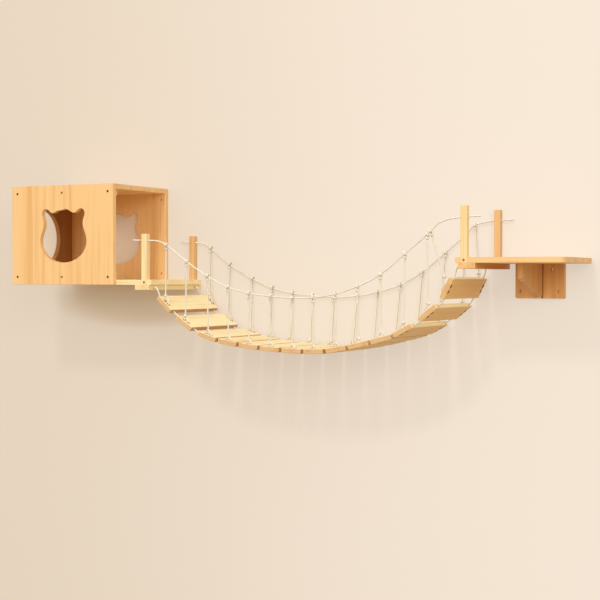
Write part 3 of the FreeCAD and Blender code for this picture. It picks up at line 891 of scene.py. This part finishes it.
@dataclass
class Bridge:
    """The hanging bridge: its planks, ropes and hangers. Lengths are in metres and tilts in degrees."""

    landing_end: float = 0.3095
    floor_under: float = -0.150
    board: float = 0.015
    board_overhang: float = 0.008
    deck_front: float = -0.285
    post: float = 0.018
    post_length: float = 0.150
    post_setback: float = 0.015
    hole_drops: Span = (0.0185, 0.028)
    rope: float = 0.005
    lay_pitch: float = 3.2
    rope_stub: float = 0.035
    leads: Span = (0.030, 0.050)
    rope_bend: float = 0.0117
    first_tilt: float = 70.0
    tilts: tuple[float, ...] = (
        43.0, 34.0, 17.0, 9.0, 6.0, 4.0, 2.0, -2.0, -10.0, -13.0, -15.0, -28.0, -39.0, -63.0,
    )
    last_tilt: float = -77.0
    bare_run: float = 0.026
    plank_width: float = 0.060
    plank_length: float = 0.270
    plank_thickness: float = 0.014
    level_gap: float = 0.0087
    slope_gap: float = 0.027
    end_gap: float = 0.014
    steep_ends: int = 2
    deck_rope_inset: float = 0.020
    hanger_rise: float = 0.145
    hanger_shares: tuple[tuple[float, ...], ...] = (
        (1.21, 1.235, 1.2, 1.08, 1.03, 1.02, 1.01, 1.02, 1.045, 1.095, 1.2, 1.41, 1.43),
        (1.17, 1.18, 1.15, 1.06, 1.02, 1.01, 1.0, 1.035, 1.07, 1.11, 1.26, 1.46, 1.49),
    )
    knot_shifts: tuple[tuple[float, ...], ...] = (
        (0.008, 0.008, 0.0, 0.001, 0.001, 0.002, 0.002, 0.001, 0.001, 0.001, 0.003, 0.006, 0.0),
        (0.0, 0.0, 0.0, 0.0, 0.002, 0.004, 0.007, 0.010, 0.0095, 0.014, 0.016, 0.019, 0.010),
    )
    hanger_inset: float = 0.009
    leg_pitch: float = 0.016
    apex_rise: float = 0.015
    apex_lift: float = 0.007
    tie_pasts: Span = (0.011, 0.038)
    knot_drop: float = 2.3
    knot_size: float = 0.0105
    apex_knot: float = 0.0122
    foot_knot: float = 0.0076
    foot_seat: float = 0.0055
    foot_clearance: float = 0.0009
    leg_rises: Span = (0.0055, 0.0015)
    leg_end: float = 0.002
    twist_shift: float = 0.0037
    tail: Span = (1.7, 0.8)
    tail_slim: float = 0.9
    deck_rope_hold: float = 0.034
    # The back rope takes more painted shade on its right sides.
    cottons: tuple[RopeFinish, RopeFinish] = (RopeFinish(), RopeFinish(right_side_shade=0.7))
    # The knots beneath the planks are a dark brown, far darker than the cotton.
    brown_feet: RopeFinish = RopeFinish(cotton=srgb(150, 108, 66), shade=srgb(116, 78, 44))
    plank_seeds: tuple[int, int] = (101, 7)
    edge_tilts: Span = (-25.0, 20.0)
    edge_least: float = 0.02
    edge_share: float = 0.85

    def __post_init__(self) -> None:
        """Works out the deck's corners, the planks' middles and the ropes' places."""
        start = (self.landing_end - self.board_overhang + self.rope_bend, self.floor_under - self.board / 2)
        self.corners = [start, self.step(start, self.first_tilt, self.bare_run)]
        count = len(self.tilts)
        steep = [i <= self.steep_ends or i >= count - self.steep_ends for i in range(1, count)]
        gaps = [self.end_gap, *(self.slope_gap if s else self.level_gap for s in steep), self.end_gap]
        self.middles = []
        for i, tilt in enumerate(self.tilts):
            self.middles.append(self.step(self.corners[-1], tilt, (gaps[i] + self.plank_width) / 2))
            self.corners.append(self.step(self.middles[-1], tilt, (gaps[i + 1] + self.plank_width) / 2))
        self.corners.append(self.step(self.corners[-1], self.last_tilt, self.bare_run))
        self.shelf_start = self.corners[-1][0] + self.rope_bend - self.board_overhang
        self.shelf_under = self.corners[-1][1] + self.board / 2
        front = (self.deck_front - self.plank_length) / 2
        back = (self.deck_front + self.plank_length) / 2
        self.top_depths = (self.deck_front + self.post / 2, -self.post / 2)
        self.deck_depths = (front + self.deck_rope_inset, back - self.deck_rope_inset)
        self.hanger_depths = (front + self.hanger_inset, back - self.hanger_inset)
        self.knots = []
        for shares, shifts in zip(self.hanger_shares, self.knot_shifts):
            row = zip(self.middles, shares, shifts)
            self.knots.append([(x + shift, z + self.hanger_rise * share) for (x, z), share, shift in row])
        self.tying = Tying(self.rope)

    @staticmethod
    def step(point: Span, tilt: float, length: float) -> Span:
        """Where a step from a place in X and Z ends, tilted downwards to the right."""
        angle = math.radians(tilt)
        return point[0] + math.cos(angle) * length, point[1] - math.sin(angle) * length

    def skein(self) -> Skein:
        """An empty skein of the bridge's rope."""
        return Skein(self.rope, self.rope * self.lay_pitch)

    def plank_spot(self, number: int, across: float, above: float) -> Span:
        """The place in X and Z that lies so far across and above a plank's middle."""
        tilt = self.tilts[number]
        return self.step(self.step(self.middles[number], tilt, across), tilt - 90.0, above)

    def top_line(self, side: Side) -> Cut:
        """The line of a top rope from stub to stub.

        Args:
            side: the row.

        Returns:
            The line, and which of its points are at its first and last knots.
        """
        depth, knots = self.top_depths[side.value], self.knots[side.value]
        left_face = self.landing_end - self.post_setback
        right_face = self.shelf_start + self.post_setback
        left_height = self.floor_under + self.post_length - self.hole_drops[0]
        right_height = self.shelf_under + self.post_length - self.hole_drops[1]
        route = [
            (left_face - self.post - self.rope_stub, left_height),
            (left_face + self.leads[0], left_height),
            *knots,
            (right_face - self.leads[1], right_height),
            (right_face + self.post + self.rope_stub, right_height),
        ]
        line = smooth_line([(x, depth, z) for x, z in route])
        ends = [nearest(line, (x, depth, z)) for x, z in (knots[0], knots[-1])]
        return line, ends[0], ends[1]

    def deck_line(self, side: Side) -> Cut:
        """The line of a deck rope from crossbar to crossbar, straight inside each plank.

        Args:
            side: the row.

        Returns:
            The line, and which of its points are at the bare runs' ends.
        """
        depth = self.deck_depths[side.value]
        left_face = self.landing_end - self.board_overhang
        right_face = self.shelf_start + self.board_overhang
        low, high = self.corners[0][1], self.corners[-1][1]
        route = [(left_face - self.deck_rope_hold, low), (left_face - self.rope, low)]
        route += self.corners[:2]
        half = self.plank_width / 2
        for number in range(len(self.tilts)):
            route += [self.plank_spot(number, across, 0.0) for across in (-half, half)]
            route.append(self.corners[number + 2])
        route += [self.corners[-1], (right_face + self.rope, high), (right_face + self.deck_rope_hold, high)]
        line = smooth_line([(x, depth, z) for x, z in route])
        ends = [nearest(line, (x, depth, z)) for x, z in (self.corners[1], self.corners[-2])]
        return line, ends[0], ends[1]

    def apex(self, number: int, tie: Vector, depth: float) -> Vector:
        """Where a hanger parts into its legs: above its plank, on the way to its tie.

        Args:
            number: the plank's number, from 0.
            tie: the place on the top rope.
            depth: the row's depth.

        Returns:
            The place.
        """
        tilt = math.radians(self.tilts[number])
        x, z = self.middles[number]
        towards = Vector((tie.x - x, 0.0, tie.z - z)).normalized()
        normal = Vector((math.sin(tilt), 0.0, math.cos(tilt)))
        rise = (self.apex_rise + self.apex_lift * abs(math.sin(tilt))) / towards.dot(normal)
        return Vector((x, depth, z)) + towards * rise

    def hanger(self, skein: Skein, feet: Skein, number: int, side: Side, tie: Vector, axis: Vector) -> None:
        """Ties one plank to the top rope.

        Args:
            skein: what the hanger is added to.
            feet: what the knots beneath the plank are added to.
            number: the plank's number, from 0.
            side: the row.
            tie: the place on the top rope.
            axis: the top rope's direction there.
        """
        depth = self.hanger_depths[side.value]
        apex = self.apex(number, tie, depth)
        way = (apex - tie).normalized()
        knot = tie + way * self.rope * self.knot_drop
        self.tying.hitch(skein, tie, axis, knot)
        self.tying.overhand(skein, knot, way, self.knot_size)
        self.tying.overhand(skein, apex, way, self.apex_knot)
        begin = number * self.twist_shift
        skein.lay(np.array([knot, apex]), begin)
        swing = self.tail[1] if number % 2 else -self.tail[1]
        tail = knot + way * self.rope * self.tail[0] + axis * self.rope * swing
        skein.lay(np.array([knot, tail]), slim=self.tail_slim)
        half = self.plank_thickness / 2
        seat = half - self.foot_seat - self.foot_clearance
        levels = (*(half + rise for rise in self.leg_rises), seat, seat - self.leg_end)
        for leg in (-1, 1):
            spots = [self.plank_spot(number, leg * self.leg_pitch / 2, above) for above in levels]
            skein.lay(smooth_line([apex, *((x, depth, z) for x, z in spots)]), begin)
            x, z = self.plank_spot(number, leg * self.leg_pitch / 2, seat - self.foot_knot / 2)
            out = Vector((spots[0][0] - spots[-1][0], 0.0, spots[0][1] - spots[-1][1])).normalized()
            self.tying.overhand(feet, Vector((x, depth, z)), out, self.foot_knot)

    def hangers(self, side: Side, line: np.ndarray, last: int, cotton: Material, brown_feet: Material) -> None:
        """Makes a row of hangers, and ties the last plank past the last knot.

        Args:
            side: the row.
            line: the row's top rope.
            last: which point of it is at the last knot.
            cotton: the cord's material.
            brown_feet: the material of the knots beneath the planks, a dark brown.
        """
        skein, feet = self.skein(), self.skein()
        travel = travelled(line)
        places = [nearest(line, (x, self.top_depths[side.value], z)) for x, z in self.knots[side.value]]
        places.append(int(np.argmin(np.abs(travel - travel[last] - self.tie_pasts[side.value]))))
        for number, place in enumerate(places):
            axis = Vector(line[place + 1] - line[place - 1]).normalized()
            self.hanger(skein, feet, number, side, Vector(line[place]), axis)
        name = f"{side.name.lower()}_hangers"
        for made in (skein.piece(f"{name}_laid", cotton), feet.piece(f"{name}_feet", brown_feet)):
            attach(made, BRIDGE_BODY)
            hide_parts(name)

    def rope_pieces(
        self, label: str, node: str, ends: str, cut: Cut, holds: tuple[Place, Place], material: Material
    ) -> Object:
        """Makes a rope's moving span and its two ends.

        Args:
            label: the rope's name.
            node: the CAD node of its span.
            ends: the CAD node of its ends.
            cut: its line, and which points part the span from the ends.
            holds: where the frame holds it, left and right; not used.
            material: the cotton.

        Returns:
            The span.
        """
        line, first, last = cut
        travel = travelled(line)
        span = self.skein().lay(line[first:last + 1], travel[first]).piece(f"{label}_span", material)
        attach(span, BRIDGE_BODY)
        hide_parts(node)
        stretches = (
            ("left", line[:first + 1], 0.0, holds[0], line[first]),
            ("right", line[last:], travel[last], holds[1], line[last]),
        )
        for way, part, begin, hold, meet in stretches:
            made = self.skein().lay(part, begin).piece(f"{label}_{way}_end", material)
            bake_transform(made)
            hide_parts(ends)
        return span

    def build(self) -> None:
        """Makes the ropes and hangers of both rows."""
        brown_feet = self.brown_feet.material("rope_sealed")
        for side in Side:
            name = side.name.lower()
            material = self.cottons[side.value].material(f"rope_{name}")
            top = self.top_line(side)
            line, first, last = top
            depth = self.top_depths[side.value]
            faces = (self.landing_end - self.post_setback, self.shelf_start + self.post_setback)
            holds = tuple((x, depth, point[2]) for x, point in zip(faces, (line[0], line[-1])))
            span = self.rope_pieces(f"{name}_top", f"{name}_top_rope", "top_rope_ends", top, holds, material)
            self.hangers(side, line, last, material, brown_feet)
            depth = self.deck_depths[side.value]
            faces = (self.landing_end - self.board_overhang, self.shelf_start + self.board_overhang)
            holds = tuple((x, depth, self.corners[i][1]) for x, i in zip(faces, (0, -1)))
            deck = self.deck_line(side)
            self.rope_pieces(f"{name}_deck", f"{name}_deck_rope", "deck_rope_ends", deck, holds, material)

    def dress(self) -> None:
        """Gives each plank its own pine."""
        # The hanger holes' places, for their painted shade rings.
        rims = (self.leg_pitch / 2, self.plank_length / 2 - self.hanger_inset)
        for number, tilt in enumerate(self.tilts):
            node = f"plank_{number + 1:02d}"
            # Painted light and shade: the paler CREAM tone stands for the light on the planks' tops, and the
            # right-facing faces and undersides get painted shade, more where the tilt turns the right faces
            # downwards.
            steep = (tilt - self.edge_tilts[0]) / self.edge_tilts[1]
            finish = PineFinish(
                Grain.OFF_WALL,
                self.plank_seeds[0] + self.plank_seeds[1] * number,
                tone=Tone.CREAM,
                ends=0.6,
                ring=0.007,
                tilt=tilt,
                right_face_shade=self.edge_share * min(1.0, max(self.edge_least, steep)),
                underside_shade=0.7,
                rims=rims,
            )
            dress(node, finish.material(f"pine_{node}", middle_of(node)))


@dataclass
class Lamp:
    """A soft rectangular lamp. Lengths are in metres."""

    name: str
    place: Place
    size: Span
    power: float
    colour: tuple[float, float, float]
    aim: Place = (0.6, 0.0, -0.1)

    def build(self) -> None:
        """Hangs the lamp and points it."""
        light = bpy.data.lights.new(self.name, "AREA")
        light.shape = "RECTANGLE"
        light.size, light.size_y = self.size
        light.energy = self.power
        light.color = self.colour
        made = bpy.data.objects.new(self.name, light)
        made.location = self.place
        made.rotation_euler = (Vector(self.aim) - Vector(self.place)).to_track_quat("-Z", "Y").to_euler()
        bpy.context.scene.collection.objects.link(made)


@dataclass
class Studio:
    """The pale wall behind the part, the lamps and the camera."""

    wall_half: float = 6.0
    wall_gap: float = 0.0006
    camera_place: Place = (2.508, -3.6276, -0.1306)
    yaw: float = 27.07
    pitch: float = -0.91
    roll: float = 0.06
    lens: float = 81.58
    sensor: float = 36.0
    lamps: tuple[Lamp, ...] = (
        Lamp("key", (0.9, -6.5, 5.5), (0.9, 0.9), 160.0, (1.0, 0.99, 0.97)),
        Lamp("right_fill", (6.0, -6.0, 2.0), (3.0, 3.0), 130.0, (1.0, 0.99, 0.975)),
        Lamp("front_fill", (0.6, -7.0, 0.8), (3.0, 3.0), 68.0, (1.0, 1.0, 1.0)),
    )
    rooms: tuple[Colour, Colour] = (srgb(255, 232, 200), srgb(255, 248, 238))
    room_lights: Span = (0.45, 0.86)
    horizon: Span = (-0.4, 0.4)
    ground: Colour = srgb(244, 236, 224)
    paint: WallFinish = WallFinish()

    def wall(self) -> None:
        """Stands the backdrop just behind the part's wall faces."""
        half, y = self.wall_half, self.wall_gap
        mesh = bpy.data.meshes.new("backdrop_wall")
        corners = [(-half, y, -half), (half, y, -half), (half, y, half), (-half, y, half)]
        mesh.from_pydata(corners, [], [range(len(corners))])
        mesh.materials.append(self.paint.material("backdrop_paint"))
        made = bpy.data.objects.new("backdrop_wall", mesh)
        made.visible_diffuse = False
        made.visible_shadow = False
        bpy.context.scene.collection.objects.link(made)

    def world(self) -> None:
        """Surrounds the part with soft light, most of it from above, and a pale ground for the camera."""
        world = bpy.data.worlds.new("soft_room")
        bpy.context.scene.world = world
        sheet = NodeSheet(world)
        low, high = (
            sheet.node("ShaderNodeBackground", None, {"Color": room, "Strength": light})
            for room, light in zip(self.rooms, self.room_lights)
        )
        soft = sheet.blend(sheet.parts("Generated")[2].between(*self.horizon), low, high)
        ground = sheet.node("ShaderNodeBackground", None, {"Color": self.ground, "Strength": 1.0})
        either = sheet.blend(sheet.seen(), soft, ground)
        sheet.node("ShaderNodeOutputWorld", None, {"Surface": either.outputs[0]})

    def camera(self) -> None:
        """Stands the camera where the photographer stood."""
        turns = ((self.yaw, "Z"), (90.0 + self.pitch, "X"), (self.roll, "Z"))
        yaw, pitch, roll = (Matrix.Rotation(math.radians(angle), 4, axis) for angle, axis in turns)
        data = bpy.data.cameras.new("photo_camera")
        data.sensor_width = self.sensor
        data.lens = self.lens
        made = bpy.data.objects.new("photo_camera", data)
        made.matrix_world = Matrix.Translation(self.camera_place) @ yaw @ pitch @ roll
        bpy.context.scene.collection.objects.link(made)
        bpy.context.scene.camera = made

    def build(self) -> None:
        """Sets up the wall, the light and the camera."""
        bpy.context.scene.view_settings.view_transform = "Standard"
        self.wall()
        self.world()
        for lamp in self.lamps:
            lamp.build()
        self.camera()
        log.info("set up the stage")


def main() -> None:
    """Builds and dresses the part in order."""
    logging.basicConfig(level=logging.INFO, format="%(message)s")
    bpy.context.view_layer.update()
    Studio().build()
    Woodwork().dress()
    Fasteners().dress()
    bridge = Bridge()
    bridge.dress()
    bridge.build()


if __name__ == "__main__":
    main()
